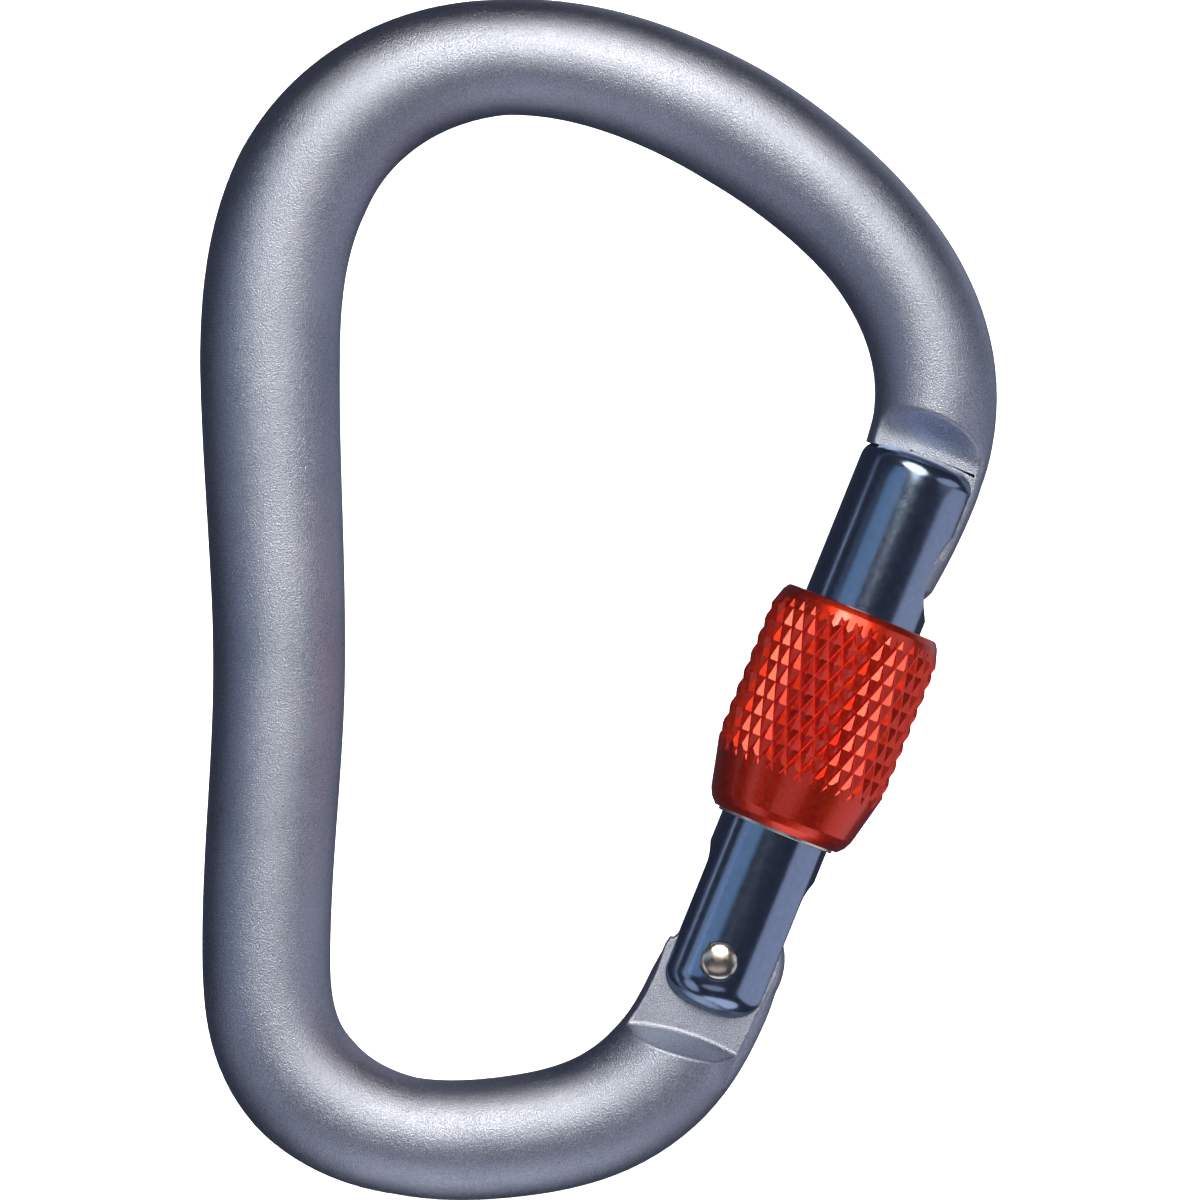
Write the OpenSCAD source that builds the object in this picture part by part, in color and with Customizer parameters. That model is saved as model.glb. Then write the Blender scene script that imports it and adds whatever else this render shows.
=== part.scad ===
// Screw-gate locking carabiner, pear shaped, with a keylock nose.
// The loop lies in the XZ plane, +Z up, and the gate leans to +X.
// The origin is the bearing point inside the top bow, where it hangs from.

/* [Bar] */
// Thickness of the bar across the plane of the loop
bar_thick = 11.4; // [10.8:0.1:11.8]
// Factor on the bar's width in the plane of the loop
bar_width_scale = 1; // [0.95:0.01:1.03]

/* [Gate] */
// Angle of the closed gate from upright
gate_tilt = 22; // [21.5:0.1:22.5]
// How far the gate swings in towards the spine
gate_swing = 28; // [20:1:28]
// Distance of the barrel's axis outside the rivet
barrel_offset = 0.4; // [0.3:0.05:0.5]
// Diameter of the barrel below the sleeve's thread
barrel_low_d = 10.9; // [10.8:0.1:11]
// Diameter of the barrel from the sleeve's thread up
barrel_d = 11.9; // [11.8:0.05:11.95]
// Distance from the rivet to the barrel's top end
barrel_top = 52.9; // [52.5:0.1:52.9]
// Distance from the rivet to the barrel's bottom end
barrel_foot = 4.9; // [4.7:0.1:5]

/* [Locking sleeve] */
// Height of the sleeve
sleeve_h = 22.5; // [22:0.1:23]
// Diameter of the sleeve over its grip
sleeve_d = 17.1; // [16.6:0.1:17.6]
// Distance from the rivet to the sleeve's lower edge when unlocked
sleeve_low = 13.8; // [13.6:0.1:14]
// Travel of the sleeve from unlocked to locked
sleeve_travel = 8; // [6:0.5:8]

/* [Nose and tang] */
// Thickness of the nose plate in the barrel's slot
nose_thick = 5.2; // [4.8:0.1:5.3]
// Thickness of the key at the nose's end
key_thick = 7; // [6.6:0.1:7.1]
// Thickness of the tongue between the barrel's cheeks
tongue_thick = 4.5; // [4.2:0.1:4.6]
// Diameter of the rivet's shank
rivet_d = 2.4; // [2.2:0.1:2.6]

/* [Gate spring] */
// Diameter of the spring's wire
wire_d = 0.5; // [0.4:0.05:0.6]
// Number of turns in the spring
turns = 13; // [10:1:15]

/* [Hidden] */
round_fn = 64;
// Half the size of a cutter that reaches past the bar on every side
reach = 9;

// The bar's centre line, from the nose over the top bow to the tang:
// where it starts, which way it heads, and its turn in degrees per mm at each distance along it.
bar_start = [39.8, -33.3];
bar_heading = 73;
bends = [[0, 2.5], [8, 3], [31, 0.95], [48, 1.05], [68, 2.35], [84, 2.85], [108, 0.3], [138, -0.45],
         [151, 0.1], [163, 0.5], [173, 4.75], [183, 3.2], [198, 0.9], [208, 3.2], [218, 2.8], [226, -0.8]];
// The bar's width in the plane of the loop at each distance along it
widths = [[0, 12], [22, 11.5], [40, 12], [64, 11.2], [88, 13.5], [106, 13.6], [130, 12.9], [166, 12.4],
          [177, 12.6], [188, 11.5], [203, 11.9], [214, 12.3], [226, 12.1]];
bar_length = 226;
ring_every = 2;
ring_sides = 24;

// The gate's pivot in the XZ plane
pivot = [19.7, -81.7];
barrel_r = barrel_d / 2;
barrel_low_r = barrel_low_d / 2;
foot_round = 2.8;
top_round = 1.3;
thread_foot = sleeve_low + sleeve_travel + 1.1;
thread_chamfer = 0.5;

// Slots of the barrel, all cut square to the plane of the loop
tongue_gap = 0.1;
foot_slot_r = tongue_thick / 2 + tongue_gap;
foot_slot_top = 8;
slot_floor = -1.75;
slot_length = 16;
nose_gap = 0.15;
neck_slot_r = nose_thick / 2 + nose_gap;
pocket_r = 3.9;
pocket_low = 41.6;
pocket_high = 43.6;

// The nose, measured along the barrel's axis from the pivot
nose_floor = slot_floor + nose_gap;
nose_root = 54.4;
nose_middle = 42;
shoulder_at = 53.15;
nose_flat_top = 54.9;
key_bottom_centre = 42.2;
key_top = 43.8;
envelope_low = 40.5;
envelope_r = 6.2;
envelope_top = 50;
envelope_bow = 64;

// The tang
tang_flat_low = -7.8;
tongue_round = 6.45;

// The slopes that lead from the flats of the nose and the tang back to the round bar
slope_out = 7.2;
nose_slope = 2.4;
tang_slope = 3.2;
flats_from = 36;
flats_to = 14;
// How much of the bar's two ends the plates stand in for
end_cut = 6;

// The spring housing in the barrel
plunger_r = 1.8;
plunger_bore_r = 1.86;
stem_r = 0.9;
tip_centre = 7.2;
plunger_shoulder = 13;
stem_top = 19;
bore_top = 34;
cam_lift = 2.2;
cam_gap = 0.12;

// The rivet
head_r = 1.8;
head_dome = 0.75;
head_rim = 0.15;
seat_y = 5.1;
seat_r = 1.95;

// The sleeve and its ring
sleeve_bore_r = barrel_r + 0.08;
ring_bore_r = barrel_low_r + 0.07;
groove_r = 6.6;
groove_low = sleeve_low + 0.4;
groove_high = sleeve_low + 1.2;
ring_play = 0.05;
ring_lip_r = 5.88;
ring_lip = 0.3;
lip_r = ring_lip_r + ring_play;

// Rows of diamonds in the sleeve's grip
grip_low = sleeve_low + 6.8;
grip_high = sleeve_low + 20;
grip_rows = 7;
grip_groove_r = 0.75;
grip_depth = 0.25;

function arc(centre, r, a0, a1, n) =
    [for (i = [0 : n]) centre + r * [cos(a0 + (a1 - a0) * i / n), sin(a0 + (a1 - a0) * i / n)]];

function turned(p, a) = [p[0] * cos(a) - p[1] * sin(a), p[0] * sin(a) + p[1] * cos(a)];

// Places children given along the gate: the origin at the pivot, +Z up the gate, +X away from the spine
module at_pivot() {
    translate([pivot[0], 0, pivot[1]])
        rotate([0, gate_tilt, 0])
            children();
}

// As at_pivot(), with the origin on the barrel's axis
module at_barrel() {
    at_pivot()
        translate([barrel_offset, 0, 0])
            children();
}

// A flat plate in the plane of the loop, from an outline in X and Z, centred on the plane
module plate(thick, outline) {
    rotate([90, 0, 0])
        linear_extrude(height = thick, center = true)
            polygon(outline);
}

// A prism across the plane of the loop's bar, from an outline in Y and Z
module across(half, outline) {
    rotate([90, 0, 90])
        linear_extrude(height = 2 * half, center = true)
            polygon(outline);
}

// ---- body ----

headings = [for (i = 0, h = bar_heading; i <= bar_length + 1;
                 h = h + (lookup(i, bends) + lookup(i + 1, bends)) / 2, i = i + 1) h];

function middle(i) = (headings[i] + headings[i + 1]) / 2;

centre_line = [for (i = 0, p = bar_start; i <= bar_length;
                    p = p + [cos(middle(i)), sin(middle(i))], i = i + 1) p];

function bar_ring(i) =
    let (p = centre_line[i], side = [-sin(headings[i]), cos(headings[i])],
         w = bar_width_scale * lookup(i, widths) / 2)
    [for (k = [0 : ring_sides - 1])
        let (a = 360 * k / ring_sides, q = p + w * cos(a) * side)
        [q[0], bar_thick / 2 * sin(a), q[1]]];

module bar() {
    rings = [for (i = [0 : ring_every : bar_length]) bar_ring(i)];
    n = ring_sides;
    last = len(rings) - 1;
    polyhedron(
        points = [for (ring = rings) each ring],
        faces = concat(
            [[for (k = [0 : n - 1]) n - 1 - k]],
            [for (j = [0 : last - 1], k = [0 : n - 1])
                [j * n + k, j * n + (k + 1) % n, (j + 1) * n + (k + 1) % n]],
            [for (j = [0 : last - 1], k = [0 : n - 1])
                [j * n + k, (j + 1) * n + (k + 1) % n, (j + 1) * n + k]],
            [[for (k = [0 : n - 1]) last * n + k]]
        )
    );
}

// The material cut away on both sides of a plate, from one height to the end of its flat,
// with a slope beyond that end
module flats(thick, from, to, slope) {
    for (side = [-1, 1])
        across(reach, [[side * thick / 2, from], [side * thick / 2, to],
                       [side * slope_out, to + slope], [side * slope_out, from]]);
}

// The block between two heights
module block(from, to) {
    translate([-reach, -reach, from])
        cube([2 * reach, 2 * reach, to - from]);
}

// The space that the nose fills, so that the raised sleeve passes over it
module nose_envelope() {
    top = shoulder_at + 1.4;
    bow = [for (z = [top : -1 : envelope_low])
               [envelope_r - pow(envelope_top - z, 2) / (2 * envelope_bow), z]];
    tip = [[4.9, 39.4], [3.9, 38.7], [0, 38.7]];
    rotate_extrude($fn = round_fn)
        polygon(concat([[0, top]], bow, tip));
}

module nose() {
    intersection() {
        union() {
            plate(nose_thick, [[nose_floor, nose_middle], [reach, nose_middle], [reach, nose_root],
                               [nose_floor + 0.6, nose_root], [nose_floor, nose_root - 0.6]]);
            intersection() {
                translate([nose_floor, 0, key_bottom_centre])
                    rotate([0, 90, 0])
                        cylinder(r = key_thick / 2, h = reach, $fn = round_fn);
                plate(2 * reach, [[nose_floor, flats_from], [reach, flats_from],
                                  [reach, key_top], [nose_floor, key_top]]);
            }
        }
        nose_envelope();
    }
}

// Where the plunger's round end is when the gate has swung by a degrees
function tip_path(a) = turned([barrel_offset, tip_centre + cam_lift * a / gate_swing], a);

// The point of the tongue's cam that the plunger bears on there
function cam_point(a) =
    let (p = tip_path(a), t = tip_path(a + 0.5) - tip_path(a - 0.5), inward = [-t[1], t[0]] / norm(t))
    p + (plunger_r + cam_gap) * inward;

module tongue() {
    cam = [for (a = [34 : -4 : -10]) cam_point(a)];
    outline = concat([[-5.5, -4], [-5.3, -0.5], [-5.15, 0.25], [-4.8, 0.3], [-4.4, 1.2]], cam,
                     arc([0, 0], tongue_round, 52, -8, 8), [[6.4, -4]]);
    plate(tongue_thick, outline);
}

module body() {
    color([0.5, 0.52, 0.62])
        difference() {
            union() {
                difference() {
                    bar();
                    at_barrel() flats(nose_thick, flats_from, nose_flat_top, nose_slope);
                    at_pivot() flats(tongue_thick, flats_to, tang_flat_low, -tang_slope);
                    at_barrel() block(shoulder_at - end_cut, shoulder_at);
                    at_pivot() block(0, end_cut);
                }
                at_barrel() nose();
                at_pivot() tongue();
            }
            at_pivot()
                rotate([90, 0, 0])
                    cylinder(d = rivet_d + 0.06, h = 20, center = true, $fn = round_fn);
        }
}

// ---- gate ----

module barrel() {
    rotate_extrude($fn = round_fn)
        polygon(concat(
            [[0, -barrel_foot]],
            arc([barrel_low_r - foot_round, foot_round - barrel_foot], foot_round, -90, 0, 8),
            [[barrel_low_r, thread_foot], [barrel_r, thread_foot + thread_chamfer]],
            arc([barrel_r - top_round, barrel_top - top_round], top_round, 0, 90, 6),
            [[0, barrel_top]]
        ));
}

// A slot across the plane of the loop, open to +X, with round ends
module slot(r, x0, z0, z1) {
    translate([x0, -r, z0])
        cube([slot_length, 2 * r, z1 - z0]);
    for (z = [z0, z1])
        translate([x0, 0, z])
            rotate([0, 90, 0])
                cylinder(r = r, h = slot_length, $fn = round_fn);
}

module gate() {
    color([0.22, 0.28, 0.42])
        difference() {
            at_barrel() barrel();
            at_barrel() slot(foot_slot_r, -8, -12, foot_slot_top);
            at_barrel() slot(neck_slot_r, slot_floor, pocket_high, barrel_top + 6);
            at_barrel() slot(pocket_r, slot_floor, pocket_low, pocket_high);
            at_barrel()
                translate([0, 0, foot_slot_top])
                    cylinder(r = plunger_bore_r, h = bore_top - foot_slot_top, $fn = round_fn);
            at_pivot()
                rotate([90, 0, 0])
                    cylinder(d = rivet_d, h = 20, center = true, $fn = round_fn);
            for (side = [-1, 1])
                at_pivot()
                    translate([0, side * (seat_y + 2), 0])
                        rotate([90, 0, 0])
                            cylinder(r = seat_r, h = 4, center = true, $fn = round_fn);
        }
}

// ---- locking sleeve ----

module sleeve_shell() {
    top = sleeve_low + sleeve_h;
    r = sleeve_d / 2;
    rotate_extrude($fn = round_fn)
        polygon([
            [lip_r, sleeve_low], [lip_r + 0.4, sleeve_low], [6.7, sleeve_low + 0.45],
            [7.15, sleeve_low + 0.9], [7.35, sleeve_low + 1.6], [r, grip_low], [r, grip_high],
            [r - 0.6, top - 0.4], [r - 1, top], [sleeve_bore_r + 0.4, top], [sleeve_bore_r, top - 0.6],
            [sleeve_bore_r, groove_high], [groove_r, groove_high], [groove_r, groove_low],
            [lip_r, groove_low]
        ]);
}

// Shallow grooves round the grip between its rows of diamonds
module grip_grooves() {
    pitch = (grip_high - grip_low) / grip_rows;
    for (i = [1 : grip_rows])
        translate([0, 0, grip_low + pitch * (i - 0.5)])
            rotate_extrude($fn = round_fn)
                translate([sleeve_d / 2 + grip_groove_r - grip_depth, 0])
                    circle(r = grip_groove_r, $fn = 24);
}

module locking_sleeve() {
    color([0.85, 0.16, 0.08])
        at_barrel()
            difference() {
                sleeve_shell();
                grip_grooves();
            }
}

module sleeve_ring() {
    color([0.86, 0.85, 0.78])
        at_barrel()
            rotate_extrude($fn = round_fn)
                polygon([
                    [ring_bore_r, sleeve_low - ring_lip], [ring_lip_r, sleeve_low - ring_lip],
                    [ring_lip_r, groove_low + ring_play], [groove_r - ring_play, groove_low + ring_play],
                    [groove_r - ring_play, groove_high - ring_play], [ring_bore_r, groove_high - ring_play]
                ]);
}

// ---- rivet ----

// How far a head's face is from the middle of the rivet, at a share of its radius
function head_face(share) = seat_y + head_rim + (head_dome - head_rim) * cos(90 * share);

module hinge_rivet() {
    color([0.8, 0.78, 0.72])
        at_pivot()
            rotate([90, 0, 0])
                rotate_extrude($fn = round_fn)
                    polygon(concat(
                        [[0, -seat_y - head_dome]],
                        [for (i = [1 : 6]) [head_r * i / 6, -head_face(i / 6)]],
                        [[head_r, -seat_y], [rivet_d / 2, -seat_y], [rivet_d / 2, seat_y], [head_r, seat_y]],
                        [for (i = [6 : -1 : 1]) [head_r * i / 6, head_face(i / 6)]],
                        [[0, seat_y + head_dome]]
                    ));
}

// ---- spring and plunger ----

module spring_plunger() {
    color([0.72, 0.72, 0.7])
        at_barrel()
            rotate_extrude($fn = round_fn)
                polygon(concat(
                    arc([0, tip_centre], plunger_r, -90, 0, 8),
                    [[plunger_r, plunger_shoulder], [stem_r, plunger_shoulder], [stem_r, stem_top],
                     [0, stem_top]]
                ));
}

// A coil of wire along the barrel's axis, from the plunger's shoulder to the end of the bore
module gate_spring() {
    coil_r = plunger_r - 0.05 - wire_d / 2;
    low = plunger_shoulder + wire_d / 2;
    high = bore_top - wire_d / 2;
    per_turn = 10;
    sides = 6;
    count = turns * per_turn;
    rings = [for (i = [0 : count])
                let (a = 360 * i / per_turn, c = [coil_r, low + (high - low) * i / count])
                [for (k = [0 : sides - 1])
                    let (b = 360 * k / sides, r = c[0] + wire_d / 2 * cos(b))
                    [r * cos(a), r * sin(a), c[1] + wire_d / 2 * sin(b)]]];
    color([0.6, 0.6, 0.6])
        at_barrel()
            polyhedron(
                points = [for (ring = rings) each ring],
                faces = concat(
                    [[for (k = [0 : sides - 1]) sides - 1 - k]],
                    [for (j = [0 : count - 1], k = [0 : sides - 1])
                        [j * sides + k, j * sides + (k + 1) % sides, (j + 1) * sides + (k + 1) % sides]],
                    [for (j = [0 : count - 1], k = [0 : sides - 1])
                        [j * sides + k, (j + 1) * sides + (k + 1) % sides, (j + 1) * sides + k]],
                    [[for (k = [0 : sides - 1]) count * sides + k]]
                )
            );
}

body();
gate();
locking_sleeve();
sleeve_ring();
hinge_rivet();
spring_plunger();
gate_spring();
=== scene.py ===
"""Locking carabiner: the looks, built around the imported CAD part.

Shapes are worked out in millimetres and stored in metres. "Gate frame" means the frame of the closed
gate: the origin at the rivet, +Z up the barrel, +X away from the spine.
"""
import math

import bmesh
import bpy
import numpy as np
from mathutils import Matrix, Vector


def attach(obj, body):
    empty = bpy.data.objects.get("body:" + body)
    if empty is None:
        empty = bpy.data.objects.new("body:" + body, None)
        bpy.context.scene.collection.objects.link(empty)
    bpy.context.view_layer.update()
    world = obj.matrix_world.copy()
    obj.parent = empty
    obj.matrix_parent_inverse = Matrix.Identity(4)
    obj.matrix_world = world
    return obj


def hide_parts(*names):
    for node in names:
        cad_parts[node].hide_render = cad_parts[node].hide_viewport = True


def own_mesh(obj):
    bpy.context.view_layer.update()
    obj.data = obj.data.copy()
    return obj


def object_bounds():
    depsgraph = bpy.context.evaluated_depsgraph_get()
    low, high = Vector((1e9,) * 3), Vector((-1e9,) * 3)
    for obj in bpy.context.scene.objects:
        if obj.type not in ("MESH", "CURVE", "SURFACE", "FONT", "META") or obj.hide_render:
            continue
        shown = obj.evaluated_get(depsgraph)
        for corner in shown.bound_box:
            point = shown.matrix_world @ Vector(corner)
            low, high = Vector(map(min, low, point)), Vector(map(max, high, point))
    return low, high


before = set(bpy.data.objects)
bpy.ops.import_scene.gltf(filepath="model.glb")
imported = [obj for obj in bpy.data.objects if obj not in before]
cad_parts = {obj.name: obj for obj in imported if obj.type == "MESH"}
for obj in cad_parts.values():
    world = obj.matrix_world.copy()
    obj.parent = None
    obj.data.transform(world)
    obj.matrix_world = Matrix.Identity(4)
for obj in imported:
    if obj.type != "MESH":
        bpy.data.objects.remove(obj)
cad_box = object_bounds()

# ---- sizes: the CAD model's, and those of the ledge's lip and the barrel's domed top ----

PIVOT = np.array([19.7, -81.7])
TILT = math.radians(22)
BARREL_OFFSET = 0.4
BAR_START, BAR_HEADING, BAR_LENGTH, BAR_THICK = (39.8, -33.3), 73.0, 226.0, 11.4
BENDS = [(0, 2.5), (8, 3), (31, 0.95), (48, 1.05), (68, 2.35), (84, 2.85), (108, 0.3), (138, -0.45),
         (151, 0.1), (163, 0.5), (173, 4.75), (183, 3.2), (198, 0.9), (208, 3.2), (218, 2.8), (226, -0.8)]
WIDTHS = [(0, 12), (22, 11.5), (40, 12), (64, 11.2), (88, 13.5), (106, 13.6), (130, 12.9), (166, 12.4),
          (177, 12.6), (188, 11.5), (203, 11.9), (214, 12.3), (226, 12.1)]
NOSE_HALF, NOSE_FLAT_TOP, NOSE_SLOPE = 2.6, 54.9, 2.4
TANG_HALF, TANG_RISE = 2.25, 1.7
# where the tang's flat ends, at each distance outside the rivet
TANG_FOOT = np.polyfit([-6.1, -3.2, 0.2, 2.6, 5.2], [-9.14, -8.33, -7.7, -7.85, -7.95], 3)
SLOPE_OUT = 7.2
SHOULDER, LEDGE_TOP, LIP_R, NOSE_FLOOR = 52.64, 54.4, 52.1, -1.6
KEY_HALF, KEY_CENTRE, KEY_TOP, NOSE_TIP, TIP_ROUND_TOP = 3.5, 42.2, 43.8, 38.7, 40.5
TONGUE_ROUND = 6.45
# the slice spacing that the bar's path is summed at, and how far in from either end its flats can reach
PATH_STEP, END_SPAN = 0.05, 14
BARREL_R, BARREL_LOW_R, BARREL_TOP, BARREL_FOOT = 5.95, 5.45, 52.58, -4.9
FOOT_ROUND = 2.8
THREAD_FOOT = 22.9
PLUNGER_R, PLUNGER_BORE_R, TIP_CENTRE, PLUNGER_SHOULDER, BORE_TOP = 1.8, 1.86, 7.2, 13.0, 34.0
CAM_LIFT, CAM_GAP, SWING = 2.2, 0.12, 28.0
RIVET_R, HEAD_R, SEAT_Y, SEAT_R = 1.2, 1.8, 5.1, 1.95


# ---- helpers ----

# edges shorter than this, in metres, are closed up
EMPTY = 1e-7


def smoothstep(x, low, high):
    t = np.clip((np.asarray(x, float) - low) / (high - low), 0, 1)
    return t * t * (3 - 2 * t)


def soft_min(a, b, k):
    """The smaller of a and b, with their crease rounded over a span of k."""
    h = np.maximum(k - np.abs(a - b), 0) / k
    return np.minimum(a, b) - h * h * k / 4


def soft_max(a, b, k):
    return -soft_min(-np.asarray(a, float), -np.asarray(b, float), k)


def from_gate(points, offset=0.0):
    """Row frame coordinates of points given in the gate frame, or in the barrel's with its offset."""
    p = np.array(points, float)
    x, z = p[:, 0] + offset, p[:, 2]
    return np.stack([PIVOT[0] + x * math.cos(TILT) + z * math.sin(TILT), p[:, 1],
                     PIVOT[1] - x * math.sin(TILT) + z * math.cos(TILT)], 1)


def to_gate(points):
    p = np.array(points, float)
    x, z = p[:, 0] - PIVOT[0], p[:, 2] - PIVOT[1]
    return np.stack([x * math.cos(TILT) - z * math.sin(TILT), p[:, 1],
                     x * math.sin(TILT) + z * math.cos(TILT)], 1)


def new_piece(name, points_mm, faces, smooth=True):
    """A mesh object from points in the row frame, in mm."""
    mesh = bpy.data.meshes.new(name)
    mesh.from_pydata([tuple(p * 0.001) for p in np.asarray(points_mm, float)], [], faces)
    bm = bmesh.new()
    bm.from_mesh(mesh)
    bmesh.ops.remove_doubles(bm, verts=bm.verts, dist=EMPTY)
    bmesh.ops.dissolve_degenerate(bm, edges=bm.edges, dist=EMPTY)
    bmesh.ops.recalc_face_normals(bm, faces=bm.faces)
    bm.to_mesh(mesh)
    bm.free()
    mesh.polygons.foreach_set("use_smooth", [smooth] * len(mesh.polygons))
    obj = bpy.data.objects.new(name, mesh)
    bpy.context.scene.collection.objects.link(obj)
    return obj


def loft_faces(rings, sides):
    """Faces between rings of points that follow one another, with a flat face over either end."""
    faces = []
    for low in range(0, (rings - 1) * sides, sides):
        for k in range(sides):
            k_next = (k + 1) % sides
            faces.append((low + k, low + k_next, low + sides + k_next, low + sides + k))
    faces.append(tuple(range(sides - 1, -1, -1)))
    faces.append(tuple((rings - 1) * sides + k for k in range(sides)))
    return faces


def revolved(name, outline, sides, place, closed_loop=True):
    """A turned piece from an outline of (radius, height). Points on the axis close it at its ends."""
    pts, faces, rows = [], [], []
    turns = [2 * math.pi * k / sides for k in range(sides)]
    for r, z in outline:
        if r < 1e-6:
            rows.append([len(pts)] * sides)
            pts.append((0, 0, z))
        else:
            rows.append([len(pts) + k for k in range(sides)])
            pts += [(r * math.cos(a), r * math.sin(a), z) for a in turns]
    pairs = list(zip(rows, rows[1:] + rows[:1])) if closed_loop else list(zip(rows, rows[1:]))
    for a, b in pairs:
        for k in range(sides):
            face = list(dict.fromkeys([a[k], a[(k + 1) % sides], b[(k + 1) % sides], b[k]]))
            if len(face) > 2:
                faces.append(tuple(face))
    return new_piece(name, place(np.array(pts)), faces)


def rounded(outline, radii, steps=4, closed=True):
    """An outline with its corners rounded, each by its own radius."""
    n = len(outline)
    made = []
    for i, p in enumerate(outline):
        p = np.array(p, float)
        if radii[i] <= 0 or (not closed and i in (0, n - 1)):
            made.append(tuple(p))
            continue
        a, b = np.array(outline[i - 1], float), np.array(outline[(i + 1) % n], float)
        u, v = (a - p) / np.linalg.norm(a - p), (b - p) / np.linalg.norm(b - p)
        half = math.acos(np.clip(np.dot(u, v), -1, 1)) / 2
        if half > math.radians(88):
            made.append(tuple(p))
            continue
        back = min(radii[i] / math.tan(half), 0.45 * np.linalg.norm(a - p), 0.45 * np.linalg.norm(b - p))
        r = back * math.tan(half)
        centre = p + (u + v) / np.linalg.norm(u + v) * r / math.sin(half)
        start, end = p + u * back - centre, p + v * back - centre
        turn = math.atan2(start[0] * end[1] - start[1] * end[0], float(np.dot(start, end)))
        for s in range(steps + 1):
            t = turn * s / steps
            made.append((centre[0] + start[0] * math.cos(t) - start[1] * math.sin(t),
                         centre[1] + start[0] * math.sin(t) + start[1] * math.cos(t)))
    return made


def apply_modifiers(obj):
    bpy.context.view_layer.update()
    evaluated = obj.evaluated_get(bpy.context.evaluated_depsgraph_get())
    mesh = bpy.data.meshes.new_from_object(evaluated)
    old = obj.data
    obj.modifiers.clear()
    obj.data = mesh
    mesh.name = old.name + "_made"
    bpy.data.meshes.remove(old)


def cut(obj, *cutters):
    for cutter in cutters:
        m = obj.modifiers.new("cut", "BOOLEAN")
        m.operation, m.solver, m.object = "DIFFERENCE", "EXACT", cutter
    apply_modifiers(obj)
    for cutter in cutters:
        bpy.data.objects.remove(cutter)


def shade(obj, angle):
    """Smooth shading, with the edges sharper than angle kept crisp, on a mesh freed of empty faces."""
    bm = bmesh.new()
    bm.from_mesh(obj.data)
    bmesh.ops.remove_doubles(bm, verts=bm.verts, dist=EMPTY)
    bmesh.ops.dissolve_degenerate(bm, edges=bm.edges, dist=EMPTY)
    for f in bm.faces:
        f.smooth = True
    for e in bm.edges:
        e.smooth = not (e.is_manifold and e.calc_face_angle(0) > math.radians(angle))
    bm.to_mesh(obj.data)
    bm.free()


def in_barrel(p):
    return from_gate(p, BARREL_OFFSET)


def across(p):
    """Points of a turned shape whose axis is the rivet's."""
    return from_gate(p[:, [0, 2, 1]])


def plug(name, r, low, high, sides, place):
    """A cylinder on a turned shape's axis, to cut with."""
    return revolved(name, [(0, low), (r, low), (r, high), (0, high)], sides, place, closed_loop=False)


# ---- body: one loft from the nose's tip over the top bow and down the spine to the tang ----

def bar_angles():
    """Angles round the bar, 0 on the side of the loop, closest together by the edges of the flats."""
    first = math.degrees(math.asin(NOSE_HALF / (BAR_THICK / 2)))
    quarter = np.concatenate([np.linspace(0, first, 13)[:-1], np.linspace(first, 180 - first, 39)[:-1],
                              np.linspace(180 - first, 180, 13)[:-1]])
    return np.radians(np.concatenate([quarter, quarter + 180]))


ANGLES = bar_angles()
CORNER = math.asin(NOSE_HALF / (BAR_THICK / 2))
SIDE_X, SIDE_Y = np.cos(ANGLES), np.sin(ANGLES)


def bar_surface():
    """The bar's centre, side direction and half width at each step of its length."""
    s = np.arange(0, BAR_LENGTH + PATH_STEP / 5, PATH_STEP)
    bend = np.interp(s, *zip(*BENDS))
    heading = BAR_HEADING + np.concatenate([[0], np.cumsum((bend[1:] + bend[:-1]) / 2 * PATH_STEP)])
    h = np.radians(heading)
    mid = (h[1:] + h[:-1]) / 2
    x = BAR_START[0] + np.concatenate([[0], np.cumsum(np.cos(mid) * PATH_STEP)])
    z = BAR_START[1] + np.concatenate([[0], np.cumsum(np.sin(mid) * PATH_STEP)])
    return s, x, z, -np.sin(h), np.cos(h), np.interp(s, *zip(*WIDTHS)) / 2


S, CX, CZ, NX, NZ, HALF_W = bar_surface()


def bar_points(stations):
    """Points of the bar at a station for each angle, before the flats are cut."""
    cx, cz, nx, nz, w = (np.interp(stations, S, v) for v in (CX, CZ, NX, NZ, HALF_W))
    return np.stack([cx + w * SIDE_X * nx, BAR_THICK / 2 * SIDE_Y, cz + w * SIDE_X * nz], 1)


def stations_at(height, nose):
    """The station at which each angle's line along the bar passes a height in the gate frame."""
    part = (S < END_SPAN) if nose else (S > BAR_LENGTH - END_SPAN)
    out = []
    for c in SIDE_X:
        x, z = CX[part] + HALF_W[part] * c * NX[part], CZ[part] + HALF_W[part] * c * NZ[part]
        up = (x - PIVOT[0]) * math.sin(TILT) + (z - PIVOT[1]) * math.cos(TILT)
        out.append(np.interp(height, up, S[part]))
    return np.array(out)


def limit_sides(points):
    """Cuts the flats of the nose and the tang, and the slopes beyond them."""
    out, _, up = to_gate(points).T
    y = np.abs(points[:, 1])
    near = (points[:, 0] > PIVOT[0] - END_SPAN) & ((up > 40) | (up < 15))
    nose = soft_max(NOSE_HALF, NOSE_HALF + (up - NOSE_FLAT_TOP) * (SLOPE_OUT - NOSE_HALF) / NOSE_SLOPE, 3.0)
    tang = soft_max(TANG_HALF, TANG_HALF + (np.polyval(TANG_FOOT, np.clip(out, -7, 7)) - up) * TANG_RISE, 0.6)
    half = np.where(up > 20, soft_min(y, nose, 0.55), soft_min(y, tang, 0.25))
    made = points.copy()
    made[:, 1] = np.where(near, np.sign(points[:, 1]) * half, points[:, 1])
    return round_outside(made)


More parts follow.
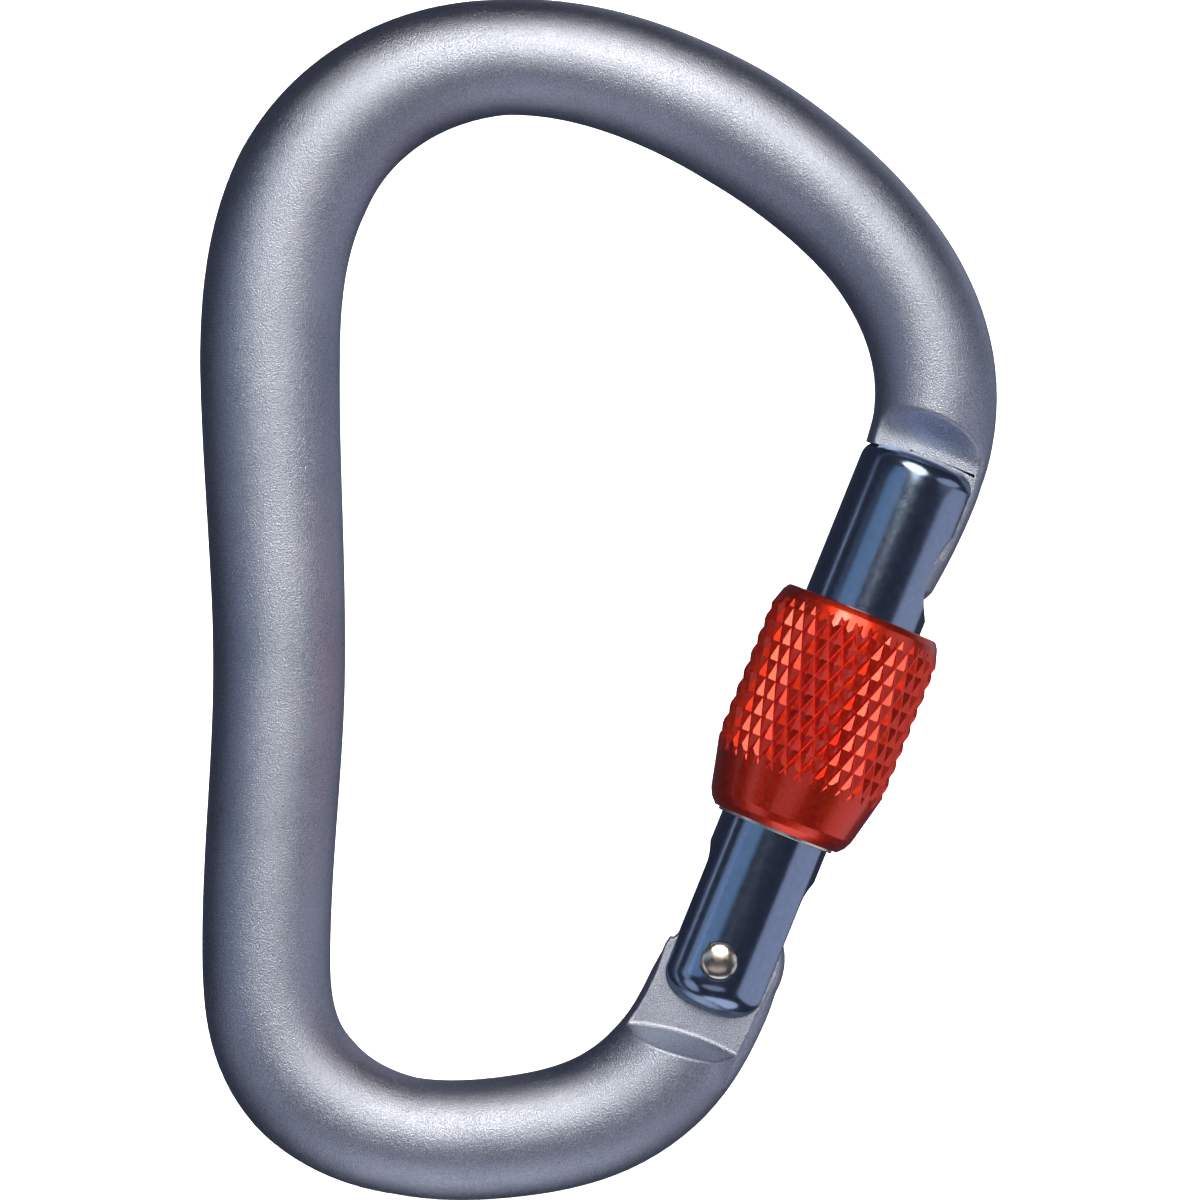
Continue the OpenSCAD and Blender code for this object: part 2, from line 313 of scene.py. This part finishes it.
def round_outside(points):
    """Rounds the tang's outer side further in than the bar's own section does."""
    out, _, up = to_gate(points).T
    share = np.minimum(np.abs(points[:, 1]) / TANG_HALF, 1) ** 2
    pull = 0.6 * share * smoothstep(out, 2.5, 5.2) * smoothstep(up, -12, -8.5) * (1 - smoothstep(up, 2, 5))
    made = points.copy()
    made[:, 0] -= pull * math.cos(TILT)
    made[:, 2] += pull * math.sin(TILT)
    return made


def nose_reach(z):
    """Radius, about the barrel's axis, of the nose's outer side."""
    def bow(height):
        return 6.2 - (50 - height) ** 2 / 128

    if z < TIP_ROUND_TOP:
        return float(np.interp(z, [NOSE_TIP, 39.4, TIP_ROUND_TOP], [3.9, 4.9, bow(TIP_ROUND_TOP)]))
    return bow(z)


def nose_half(z):
    """Half thickness of the nose at a height: the round key below, the plain plate above."""
    if z > KEY_TOP:
        return NOSE_HALF
    key = math.sqrt(max(KEY_HALF ** 2 - (z - KEY_CENTRE) ** 2, 0.0))
    return max(key, 0.35) if z < 42 else max(key, NOSE_HALF)


WALL_ANGLE = math.acos(-NOSE_FLOOR / 6.12)


def nose_ring(z):
    """A ring of the nose at a height in the barrel's frame, with the same order of points as the bar."""
    half, reach = nose_half(z), nose_reach(z)
    ring = []
    for a in ANGLES:
        b = a if a <= math.pi else 2 * math.pi - a
        side = 1 if a <= math.pi else -1
        if b < WALL_ANGLE:
            x, y = NOSE_FLOOR, half * b / WALL_ANGLE
        elif b < math.pi - CORNER:
            end = math.sqrt(max(reach ** 2 - half ** 2, 0.01))
            share = (math.cos(WALL_ANGLE) - math.cos(b)) / (math.cos(WALL_ANGLE) + math.cos(CORNER))
            x, y = NOSE_FLOOR + share * (end - NOSE_FLOOR), half
        else:
            y = half * math.sin(b) / math.sin(CORNER)
            x = math.sqrt(max(reach ** 2 - y ** 2, 0.01))
        ring.append((x, side * y, z))
    return np.array(ring)


def soften(ring, times):
    """Averages each point of a ring with its neighbours, a number of times."""
    for _ in range(times):
        ring = (np.roll(ring, 1, 0) + 2 * ring + np.roll(ring, -1, 0)) / 4
    return ring


def turned(p, degrees):
    """A point turned about the rivet."""
    a = math.radians(degrees)
    return np.array([p[0] * math.cos(a) - p[1] * math.sin(a), p[0] * math.sin(a) + p[1] * math.cos(a)])


def tip_path(degrees):
    """Where the plunger's tip is centred, in the tongue's own frame, with the gate open this far."""
    return turned((BARREL_OFFSET, TIP_CENTRE + CAM_LIFT * degrees / SWING), degrees)


def tongue_outline():
    """The tongue from the side: its inner edge, the cam that the plunger runs on and its outer round."""
    cam = []
    for a in range(34, -11, -2):
        t = tip_path(a + 0.5) - tip_path(a - 0.5)
        point = tip_path(a) + (PLUNGER_R + CAM_GAP) * np.array([-t[1], t[0]]) / np.linalg.norm(t)
        if point[0] > -4.35:
            cam.append(point)
    low = [(-5.5, -4), (-5.3, -0.5), (-5.15, 0.25), (-4.8, 0.3), (-4.4, 1.2)]
    arc = [(TONGUE_ROUND * math.cos(math.radians(a)), TONGUE_ROUND * math.sin(math.radians(a)))
           for a in np.linspace(52, -8, 16)]
    return low + [tuple(c) for c in cam] + arc + [(6.4, -4)]


TONGUE = tongue_outline()


def tongue_span(z):
    """The tongue's inner and outer edge at a height."""
    xs = []
    for (x0, z0), (x1, z1) in zip(TONGUE, TONGUE[1:]):
        if (z0 - z) * (z1 - z) <= 0 and z0 != z1:
            xs.append(x0 + (x1 - x0) * (z - z0) / (z1 - z0))
    return min(xs), max(xs)


def tongue_ring(z):
    low, high = tongue_span(z)
    ring = []
    for a in ANGLES:
        b = a if a <= math.pi else 2 * math.pi - a
        side = 1 if a <= math.pi else -1
        if b < CORNER:
            x, y = low, TANG_HALF * math.sin(b) / math.sin(CORNER)
        elif b < math.pi - CORNER:
            share = (math.cos(CORNER) - math.cos(b)) / (2 * math.cos(CORNER))
            x, y = low + share * (high - low), TANG_HALF
        else:
            x, y = high, TANG_HALF * math.sin(b) / math.sin(CORNER)
        ring.append((x, side * y, z))
    return np.array(ring)


def on_ledge(ring, share):
    """Lowers a ring so that it lies, in part, on the arc about the rivet that clears the gate's top."""
    p = to_gate(ring)
    arc = SHOULDER + (LIP_R - SHOULDER) * (1 - smoothstep(p[:, 0], -1.9, -1.3))
    p[:, 2] -= share * (SHOULDER - np.sqrt(arc ** 2 - p[:, 0] ** 2))
    return from_gate(p)


def body_rings():
    """Rings round the whole body, in order along it, in the row frame."""
    rings = []
    # the nose, from its tip up to its shoulder
    top = to_gate(limit_sides(bar_points(stations_at(SHOULDER, True))))
    top[:, 0] -= BARREL_OFFSET
    heights = np.concatenate([np.linspace(NOSE_TIP + 0.02, 39.4, 7), np.arange(39.6, KEY_TOP - 0.05, 0.2),
                              [KEY_TOP - 0.12, KEY_TOP - 0.03, KEY_TOP + 0.03, KEY_TOP + 0.15],
                              np.arange(44.2, SHOULDER - 0.2, 0.3), [SHOULDER - 0.15, SHOULDER]])
    for z in heights:
        ring = nose_ring(z)
        outer = np.abs(np.angle(np.exp(1j * (ANGLES - math.pi)))) <= CORNER + 0.001
        mix = smoothstep(z, SHOULDER - 2.2, SHOULDER)
        ring[outer] = ring[outer] * (1 - mix) + top[outer] * mix
        ring[:, 2] = z
        rings.append(from_gate(soften(ring, 2), BARREL_OFFSET))
    # the ledge over the gate's top
    bar = limit_sides(bar_points(stations_at(SHOULDER, True)))
    for share in (0.02, 0.35, 0.7):
        rings.append(on_ledge(rings[len(heights) - 1] * (1 - share) + bar * share, 1))
    # the bar: level sections by the nose, then square sections, then level sections by the tang
    level = np.concatenate([np.linspace(SHOULDER, 53.2, 4), np.arange(53.32, 58.2, 0.12)])
    for z in level:
        ring = limit_sides(bar_points(stations_at(z, True)))
        rings.append(on_ledge(ring, 1 - smoothstep(z, SHOULDER, LEDGE_TOP)))
    join, last = stations_at(level[-1], True), stations_at(-12.2, False)
    steps = 232
    for i in range(1, steps):
        t = i / steps
        square = join.mean() + (last.mean() - join.mean()) * t
        lean = (join - join.mean()) * (1 - smoothstep(t, 0.0, 0.05))
        back = (last - last.mean()) * smoothstep(t, 0.95, 1.0)
        rings.append(limit_sides(bar_points(square + lean + back)))
    for z in np.concatenate([np.arange(-12.2, -7.2, 0.12), np.arange(-7.1, -0.01, 0.3)]):
        ring = limit_sides(bar_points(stations_at(z, False)))
        mix = smoothstep(z, -4.0, -0.6)
        if mix > 0:
            plate = round_outside(from_gate(soften(tongue_ring(max(z, -3.9)), 2)))
            ring = ring * (1 - mix) + plate * mix
        rings.append(ring)
    # the tongue, up to its cam
    peak = max(p[1] for p in TONGUE)
    low, high = np.arange(0.6, 5.0, 0.3), np.linspace(5.02, peak - 0.03, 12)
    for z in np.concatenate([[0.0, 0.12, 0.24, 0.34], low, high]):
        rings.append(round_outside(from_gate(soften(tongue_ring(z), 2))))
    return rings


def make_body():
    rings = body_rings()
    obj = new_piece("body_bar", np.concatenate(rings), loft_faces(len(rings), len(ANGLES)))
    cut(obj, plug("bore", RIVET_R + 0.03, -20, 20, 48, across))
    shade(obj, 38)
    return obj


# ---- gate ----

def slot_cutter(name, r, x0, z0, z1):
    """A cutter along X with round ends, from z0 to z1, open from x0 outwards."""
    turn = [math.pi * k / 24 for k in range(25)]
    outline = [(r * math.cos(t), z1 + r * math.sin(t)) for t in turn] + \
              [(r * math.cos(t + math.pi), z0 + r * math.sin(t + math.pi)) for t in turn]
    n = len(outline)
    pts = [(x, y, z) for x in (x0, x0 + 16) for y, z in outline]
    faces = [tuple(range(n)), tuple(range(2 * n - 1, n - 1, -1))] + \
            [(k, (k + 1) % n, n + (k + 1) % n, n + k) for k in range(n)]
    return new_piece(name, from_gate(pts, BARREL_OFFSET), faces, smooth=False)


def make_gate():
    low = [(BARREL_LOW_R + FOOT_ROUND * (math.sin(a) - 1), BARREL_FOOT + FOOT_ROUND * (1 - math.cos(a)))
           for a in np.linspace(0, math.pi / 2, 14)]
    top = rounded([(BARREL_R, 44), (BARREL_R, 52.1), (2.6, BARREL_TOP), (0, BARREL_TOP)], [0, 2.1, 3, 0],
                  steps=9, closed=False)
    outline = [(0, BARREL_FOOT)] + low + [(BARREL_LOW_R, z) for z in np.linspace(-1, THREAD_FOOT, 15)] + \
        [(BARREL_R, z) for z in np.linspace(THREAD_FOOT + 0.5, 49.4, 16)] + top[1:]
    gate = revolved("gate_barrel", outline, 144, in_barrel, closed_loop=False)
    cutters = [
        slot_cutter("foot_slot", 2.35, -8, -12, 8),
        slot_cutter("neck_slot", 2.75, -1.75, 43.6, 58.9),
        slot_cutter("pocket", 3.9, -1.75, 41.6, 43.6),
        slot_cutter("ledge_notch", 2.75, -16, 54.45, 60),
        plug("plunger_bore", PLUNGER_BORE_R, 8, BORE_TOP, 40, in_barrel),
        plug("rivet_hole", RIVET_R, -20, 20, 40, across),
        plug("back_seat", SEAT_R, -SEAT_Y, -SEAT_Y - 3, 48, across),
        plug("front_seat", SEAT_R, SEAT_Y, SEAT_Y + 3, 48, across),
    ]
    cut(gate, *cutters)
    bevel = gate.modifiers.new("edges", "BEVEL")
    bevel.width, bevel.segments, bevel.limit_method = 0.00014, 2, "ANGLE"
    bevel.angle_limit, bevel.use_clamp_overlap, bevel.miter_outer = math.radians(34), True, "MITER_ARC"
    apply_modifiers(gate)
    shade(gate, 34)
    return gate


# ---- locking sleeve, with its diamond knurl cut facet by facet ----

KNURL_STARTS, KNURL_ROWS, KNURL_ROW = 35, 10, 1.815
KNURL_LOW, KNURL_HIGH, KNURL_PHASE = 17.945, 35.5, -0.31
CREST_R, VALLEY_R = 8.6, 8.2
# how far from a groove's middle its flat bottom and its sloped facet end, as a share of half a diamond
FACET_FOOT, FACET_HEAD = 0.09, 0.86
# the heights of the plain rings beside the knurl, and the outside as (height, radius)
PLAIN_FOOT, PLAIN_TOP = 17.88, 35.55
OUTER = [(15.2, 7.32), (20.6, 8.6), (33.85, 8.6), (35.7, 8.02)]


def outer_radius(z):
    return float(np.interp(z, *zip(*OUTER)))


def split(poly, values):
    """A flat polygon cut where the linear function with these values at its corners is zero."""
    low, high = [], []
    n = len(poly)
    for i in range(n):
        p, q, a, b = poly[i], poly[(i + 1) % n], values[i], values[(i + 1) % n]
        if a <= 1e-9:
            low.append(p)
        if a >= -1e-9:
            high.append(p)
        if (a < -1e-9 and b > 1e-9) or (a > 1e-9 and b < -1e-9):
            t = a / (a - b)
            cross = (p[0] + (q[0] - p[0]) * t, p[1] + (q[1] - p[1]) * t)
            low.append(cross)
            high.append(cross)
    return (low if len(low) > 2 else None), (high if len(high) > 2 else None)


def cone_radius(cone, z):
    (z0, r0), (z1, r1) = cone
    return r0 + (r1 - r0) * (z - z0) / (z1 - z0)


def half_diamonds():
    """The knurl's triangles, each as its groove's ends and its corners, in turns and heights."""
    for i in range(KNURL_STARTS * 2):
        for j in range(KNURL_ROWS):
            x0, z0 = i / 2, KNURL_LOW + j * KNURL_ROW
            x1, z1 = x0 + 0.5, z0 + KNURL_ROW
            if (i + j) % 2 == 0:
                ends = (x0, z0), (x1, z1)
                yield ends, [ends[0], (x1, z0), ends[1]]
                yield ends, [ends[0], ends[1], (x0, z1)]
            else:
                ends = (x1, z0), (x0, z1)
                yield ends, [ends[0], ends[1], (x0, z0)]
                yield ends, [ends[0], ends[1], (x1, z1)]


def knurl_faces():
    """Flat polygons of the knurl as lists of (turn, height, radius), and whether each is smooth."""
    made = []
    for groove, triangle in half_diamonds():
        (gx, gz), (hx, hz) = groove

        def away(p):
            return abs((p[0] - gx) * (hz - gz) - (p[1] - gz) * (hx - gx)) / (0.5 * KNURL_ROW)

        def facet(p):
            return VALLEY_R + (CREST_R - VALLEY_R) * (away(p) - FACET_FOOT) / (FACET_HEAD - FACET_FOOT)

        triangle = split(triangle, [p[1] - KNURL_HIGH for p in triangle])[0]
        if not triangle:
            continue
        bottom, high = split(triangle, [away(p) - FACET_FOOT for p in triangle])
        slope, crest = split(high, [away(p) - FACET_HEAD for p in high]) if high else (None, None)
        rest = [(bottom, lambda p: VALLEY_R, False), (slope, facet, False), (crest, lambda p: CREST_R, True)]
        rest = [part for part in rest if part[0]]
        for cone in (OUTER[:2], OUTER[2:]):
            kept = []
            for poly, radius, smooth in rest:
                inside, beyond = split(poly, [radius(p) - cone_radius(cone, p[1]) for p in poly])
                if inside:
                    kept.append((inside, radius, smooth))
                if beyond:
                    made.append(([(x, z, cone_radius(cone, z)) for x, z in beyond], True))
            rest = kept
        made += [([(*p, radius(p)) for p in poly], smooth) for poly, radius, smooth in rest]
    return made


def zipped(a, b):
    """A strip of triangles between two rings, each a list of (turn, point) that ends where it starts."""
    faces, i, k = [], 0, 0
    while i < len(a) - 1 or k < len(b) - 1:
        if k == len(b) - 1 or (i < len(a) - 1 and a[i + 1][0] <= b[k + 1][0]):
            faces.append((a[i][1], a[i + 1][1], b[k][1]))
            i += 1
        else:
            faces.append((a[i][1], b[k + 1][1], b[k][1]))
            k += 1
    return faces


def make_sleeve():
    index, pts, faces, smooth = {}, [], [], []

    def add_point(turn, z, r):
        a = 2 * math.pi * (turn + KNURL_PHASE) / KNURL_STARTS
        pts.append((r * math.cos(a), r * math.sin(a), z))
        return len(pts) - 1

    def vertex(turn, z, r):
        """The knurl's point at a turn and a height, made once."""
        turn = turn % KNURL_STARTS
        key = (round(turn, 4) % KNURL_STARTS, round(z, 4))
        if key not in index:
            index[key] = add_point(turn, z, r)
        return index[key]

    for poly, soft in knurl_faces():
        loop = list(dict.fromkeys(vertex(*p) for p in poly))
        if len(loop) > 2:
            faces.append(tuple(loop))
            smooth.append(soft)

    # from the knurl's rims, over the top edge and down the bore, and round the foot to the lip
    lip, bore, groove = 5.93, 6.03, 6.6
    top_edge = rounded([(outer_radius(KNURL_HIGH), KNURL_HIGH), (outer_radius(PLAIN_TOP), PLAIN_TOP),
                        (8.02, 35.7), (7.6, 36.3), (6.45, 36.3), (bore, 35.7), (bore, 30)],
                       [0, 0, 0.5, 0.35, 0.1, 0, 0], closed=False)
    top_edge += [(bore, 15.0), (groove, 15.0), (groove, 14.2), (lip, 14.2)]
    foot = rounded([(outer_radius(KNURL_LOW), KNURL_LOW), (outer_radius(PLAIN_FOOT), PLAIN_FOOT),
                    (7.32, 15.2), (6.95, 14.45), (6.35, 13.8), (lip, 13.8)],
                   [0, 0, 0.8, 0.5, 0.2, 0], closed=False)
    ends = []
    for path, start in ((top_edge, KNURL_HIGH), (foot, KNURL_LOW)):
        turns = sorted(turn for turn, z in index if abs(z - start) < 2e-4)
        before = [vertex(turn, start, outer_radius(start)) for turn in turns]
        for r, z in path[1:]:
            now = [add_point(turn, z, r) for turn in turns]
            for k in range(len(turns)):
                k_next = (k + 1) % len(turns)
                faces.append((before[k], before[k_next], now[k_next], now[k]))
                smooth.append(True)
            before = now
        ends.append(list(zip(turns + [turns[0] + KNURL_STARTS], before + [before[0]])))
    # the two paths meet in the lip's bore
    strip = zipped(*ends)
    faces += strip
    smooth += [True] * len(strip)
    mesh = bpy.data.meshes.new("locking_sleeve_knurled")
    mesh.from_pydata([tuple(p * 0.001) for p in in_barrel(np.array(pts))], [], faces)
    obj = bpy.data.objects.new("locking_sleeve_knurled", mesh)
    bpy.context.scene.collection.objects.link(obj)
    bm = bmesh.new()
    bm.from_mesh(mesh)
    for f, soft in zip(bm.faces, smooth):
        f.smooth = soft
    bmesh.ops.remove_doubles(bm, verts=bm.verts, dist=2e-7)
    bmesh.ops.recalc_face_normals(bm, faces=bm.faces)
    for e in bm.edges:
        one, other = e.link_faces
        if e.calc_face_angle(0) > math.radians(24) or one.smooth != other.smooth:
            e.smooth = False
    bm.to_mesh(mesh)
    bm.free()
    return obj


def make_ring():
    outline = rounded([(5.52, 13.5), (5.88, 13.5), (5.88, 14.25), (6.55, 14.25), (6.55, 14.95),
                       (5.52, 14.95)], [0.05, 0.1, 0.04, 0.05, 0.05, 0.05], steps=3)
    obj = revolved("sleeve_retaining_ring", outline, 128, in_barrel)
    shade(obj, 40)
    return obj


# ---- rivet, plunger and spring ----

def make_rivet():
    dome = [(HEAD_R * math.sin(a), SEAT_Y + 0.12 + 0.63 * math.cos(a))
            for a in np.linspace(0, math.pi / 2, 16)]
    edge = [(HEAD_R, SEAT_Y + 0.06), (HEAD_R - 0.05, SEAT_Y), (RIVET_R, SEAT_Y)]
    up = dome + edge
    outline = [(r, -z) for r, z in up] + [(r, z) for r, z in reversed(up)]
    obj = revolved("hinge_rivet_domed", outline, 72, across, closed_loop=False)
    shade(obj, 40)
    return obj


def make_plunger():
    tip = [(PLUNGER_R * math.sin(a), TIP_CENTRE - PLUNGER_R * math.cos(a))
           for a in np.linspace(0, math.pi / 2, 16)]
    pin_r, pin_top = 0.9, 19
    stem = rounded([(PLUNGER_R, TIP_CENTRE), (PLUNGER_R, PLUNGER_SHOULDER), (pin_r, PLUNGER_SHOULDER),
                    (pin_r, pin_top), (0, pin_top)], [0, 0.15, 0.05, 0.2, 0], steps=3, closed=False)
    outline = tip + stem[1:]
    obj = revolved("spring_plunger_pin", outline, 64, in_barrel, closed_loop=False)
    shade(obj, 40)
    return obj


def make_spring():
    """A coil with close turns at both ends."""
    wire_r, turns, per_turn, sides, dead_turns = 0.25, 13.0, 36, 12, 1.25
    coil_r = PLUNGER_R - 0.05 - wire_r
    low, high = PLUNGER_SHOULDER + wire_r, BORE_TOP - wire_r
    count = int(turns * per_turn)
    t = np.linspace(0, turns, count + 1)
    close_pitch = 2 * wire_r * 1.04
    live_pitch = (high - low - 2 * dead_turns * close_pitch) / (turns - 2 * dead_turns)
    pitch = np.where((t < dead_turns) | (t > turns - dead_turns), close_pitch, live_pitch)
    z = low + np.concatenate([[0], np.cumsum((pitch[1:] + pitch[:-1]) / 2 * (t[1] - t[0]))])
    z = low + (z - low) * (high - low) / (z[-1] - low)
    pts = []
    for i in range(count + 1):
        a = 2 * math.pi * t[i]
        for k in range(sides):
            b = 2 * math.pi * k / sides
            r = coil_r + wire_r * math.cos(b)
            pts.append((r * math.cos(a), r * math.sin(a), z[i] + wire_r * math.sin(b)))
    return new_piece("gate_spring_coil", in_barrel(np.array(pts)), loft_faces(count + 1, sides))


# ---- materials ----

BROAD_SHARE, BROAD_SCALE = 0.25, 90


def math_node(tree, operation, factor):
    n = tree.nodes.new("ShaderNodeMath")
    n.operation = operation
    n.inputs[1].default_value = factor
    return n


def noise(tree, scale, detail=2.0, roughness=0.5):
    coords = tree.nodes.new("ShaderNodeTexCoord")
    n = tree.nodes.new("ShaderNodeTexNoise")
    n.inputs["Scale"].default_value = scale
    n.inputs["Detail"].default_value = detail
    n.inputs["Roughness"].default_value = roughness
    tree.links.new(coords.outputs["Object"], n.inputs["Vector"])
    return n


def ramp(tree, source, stops):
    r = tree.nodes.new("ShaderNodeValToRGB")
    while len(r.color_ramp.elements) < len(stops):
        r.color_ramp.elements.new(0.5)
    for e, (at, colour) in zip(r.color_ramp.elements, stops):
        e.position = at
        e.color = (*colour, 1)
    tree.links.new(source, r.inputs["Fac"])
    return r


def grey(v):
    return (v, v, v)


def metal(name, dark, light, rough, grain, bump, bump_scale, coat=0.0, coat_rough=0.1, spread=(0.3, 0.7),
          depth=0.00003):
    """Anodised or bare metal: a grain of two tones, roughness that varies with it, and a fine relief."""
    m = bpy.data.materials.new(name)
    m.use_nodes = True
    tree = m.node_tree
    shader = tree.nodes["Principled BSDF"]
    shader.inputs["Metallic"].default_value = 1.0
    shader.inputs["Coat Weight"].default_value = coat
    shader.inputs["Coat Roughness"].default_value = coat_rough
    fine, broad = noise(tree, grain, 3.0, 0.6), noise(tree, BROAD_SCALE)
    mixed = math_node(tree, "MULTIPLY_ADD", BROAD_SHARE)
    tree.links.new(broad.outputs["Fac"], mixed.inputs[0])
    scaled = math_node(tree, "MULTIPLY", 1 - BROAD_SHARE)
    tree.links.new(fine.outputs["Fac"], scaled.inputs[0])
    tree.links.new(scaled.outputs[0], mixed.inputs[2])
    colour = ramp(tree, mixed.outputs[0], [(spread[0], dark), (spread[1], light)])
    tree.links.new(colour.outputs["Color"], shader.inputs["Base Color"])
    gloss = ramp(tree, mixed.outputs[0], [(0.3, grey(rough[0])), (0.7, grey(rough[1]))])
    tree.links.new(gloss.outputs["Color"], shader.inputs["Roughness"])
    relief = noise(tree, bump_scale, 2.0, 0.6)
    b = tree.nodes.new("ShaderNodeBump")
    b.inputs["Strength"].default_value = bump
    b.inputs["Distance"].default_value = depth
    tree.links.new(relief.outputs["Fac"], b.inputs["Height"])
    tree.links.new(b.outputs["Normal"], shader.inputs["Normal"])
    return m


def paint(obj, material):
    obj.data.materials.clear()
    obj.data.materials.append(material)


blasted = metal("blasted_slate_anodised", (0.41, 0.445, 0.55), (0.62, 0.655, 0.78), (0.26, 0.34), 7000,
                1.0, 8000, spread=(0.40, 0.60), depth=0.00007)
turned_blue = metal("turned_blue_anodised", (0.25, 0.32, 0.46), (0.30, 0.38, 0.54), (0.15, 0.2), 1500,
                    0.10, 4500)
red = metal("red_anodised", (0.96, 0.022, 0.010), (1.0, 0.068, 0.016), (0.33, 0.45), 2500, 0.15, 3200,
            coat=0.85, coat_rough=0.15)
bare = metal("bare_turned_aluminium", (0.80, 0.77, 0.68), (0.93, 0.91, 0.82), (0.25, 0.36), 2500, 0.2, 4000)
steel = metal("polished_stainless", (0.66, 0.60, 0.50), (0.82, 0.77, 0.66), (0.16, 0.26), 2600, 0.4, 5000)
wire = metal("drawn_spring_wire", (0.42, 0.42, 0.42), (0.6, 0.6, 0.6), (0.2, 0.32), 2500, 0.2, 4000)

# ---- the pieces ----

PIECES = [
    (make_body, blasted, "frame", "body", "body_anodised"),
    (make_gate, turned_blue, "gate", "gate", "gate_anodised"),
    (make_sleeve, red, "sleeve", "locking_sleeve", "sleeve_anodised"),
    (make_ring, bare, "sleeve_carrier", "sleeve_ring", "bare_ring"),
    (make_rivet, steel, "gate", "hinge_rivet", "stainless"),
    (make_plunger, steel, "plunger", "spring_plunger", "stainless"),
    (make_spring, wire, "gate", "gate_spring", "spring_wire"),
]

made = {}
for make, material, body, cad_node, finish in PIECES:
    piece = make()
    paint(piece, material)
    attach(piece, body)
    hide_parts(cad_node)
    made[cad_node] = piece

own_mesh(made["gate_spring"])

# ---- floor, light and camera ----

floor_z = cad_box[0].z - 0.0002


def make_floor():
    """A pale disc, in mm as the pieces are, that turns up at its rim."""
    flat, bend, wall_top = 600, 1400, 4000
    outline = [(0, 0), (flat, 0)] + [(flat + bend * math.sin(a), bend - bend * math.cos(a))
                                     for a in np.linspace(0, math.pi / 2, 16)] + [(flat + bend, wall_top)]
    obj = revolved("floor", outline, 96, lambda p: p + np.array([0, 0, floor_z * 1000]), closed_loop=False)
    m = bpy.data.materials.new("pale_floor")
    m.use_nodes = True
    shader = m.node_tree.nodes["Principled BSDF"]
    shader.inputs["Base Color"].default_value = (0.9, 0.9, 0.9, 1)
    shader.inputs["Roughness"].default_value = 0.9
    shader.inputs["Emission Color"].default_value = (1, 1, 1, 1)
    shader.inputs["Emission Strength"].default_value = 0.85
    paint(obj, m)
    # the metal doesn't mirror the floor, and the lights below it shine through
    obj.visible_glossy = obj.visible_shadow = False


make_floor()

# each light: direction as azimuth and elevation, distance, width and height, brightness, colour
LIGHTS = [
    ("key", 5, 33, 0.8, 0.58, 0.82, 3.4, (1, 0.965, 0.87)),
    ("key_core", -9, 40, 0.6, 0.17, 0.15, 9.0, (1, 0.92, 0.74)),
    ("right_card", 65, 3, 0.6, 0.56, 0.3, 0.6, (0.92, 0.92, 1)),
    ("right_low", 90, -30, 0.6, 0.85, 0.38, 0.58, (0.9, 0.88, 1)),
    ("left_low", -60, -28, 0.6, 0.28, 0.38, 0.65, (0.85, 0.87, 1)),
    ("left_card", -62, 5, 0.6, 0.22, 0.32, 0.55, (0.7, 0.8, 1)),
    ("front_fill", -36, 13, 0.7, 0.54, 0.24, 0.5, (0.5, 0.75, 1)),
    ("front_low", -5, -26, 0.6, 0.52, 0.18, 0.5, (1, 0.88, 0.95)),
    ("under", 0, -80, 0.5, 0.5, 0.34, 1.05, (0.92, 0.92, 1)),
    ("back_right", 130, 10, 0.6, 0.5, 0.5, 0.3, (0.8, 0.85, 1)),
    ("back", 180, 4, 0.7, 0.3, 0.08, 0.35, (0.7, 0.8, 1)),
    ("back_high", 158, 28, 0.8, 0.6, 0.4, 0.35, (0.9, 0.92, 1)),
]
MIDDLE = Vector((0.008, 0, -0.047))


def softbox(name, azimuth, elevation, distance, width, height, brightness, colour):
    """An oval soft light of a given brightness, facing the middle of the carabiner."""
    a, e = math.radians(azimuth), math.radians(elevation)
    out = Vector((math.sin(a) * math.cos(e), -math.cos(a) * math.cos(e), math.sin(e)))
    data = bpy.data.lights.new(name, "AREA")
    data.shape = "ELLIPSE"
    data.size, data.size_y = width, height
    data.energy = math.pi * brightness * width * height * math.pi / 4
    data.color = colour
    obj = bpy.data.objects.new(name, data)
    obj.location = MIDDLE + out * distance
    obj.rotation_euler = (-out).to_track_quat("-Z", "Y").to_euler()
    obj.visible_camera = False
    bpy.context.scene.collection.objects.link(obj)


for light in LIGHTS:
    softbox(*light)

world = bpy.data.worlds.new("studio")
world.use_nodes = True
background = world.node_tree.nodes["Background"]
background.inputs["Color"].default_value = (0.66, 0.72, 1.0, 1)
background.inputs["Strength"].default_value = 0.07
bpy.context.scene.world = world
bpy.context.scene.view_settings.view_transform = "Standard"

camera_data = bpy.data.cameras.new("camera")
camera_data.lens, camera_data.sensor_width = 250, 36
camera = bpy.data.objects.new("camera", camera_data)
field_width = 0.11619
camera.location = (0.00823, -field_width * camera_data.lens / camera_data.sensor_width, -0.04696)
camera.rotation_euler = (math.pi / 2, 0, 0)
bpy.context.scene.collection.objects.link(camera)
bpy.context.scene.camera = camera
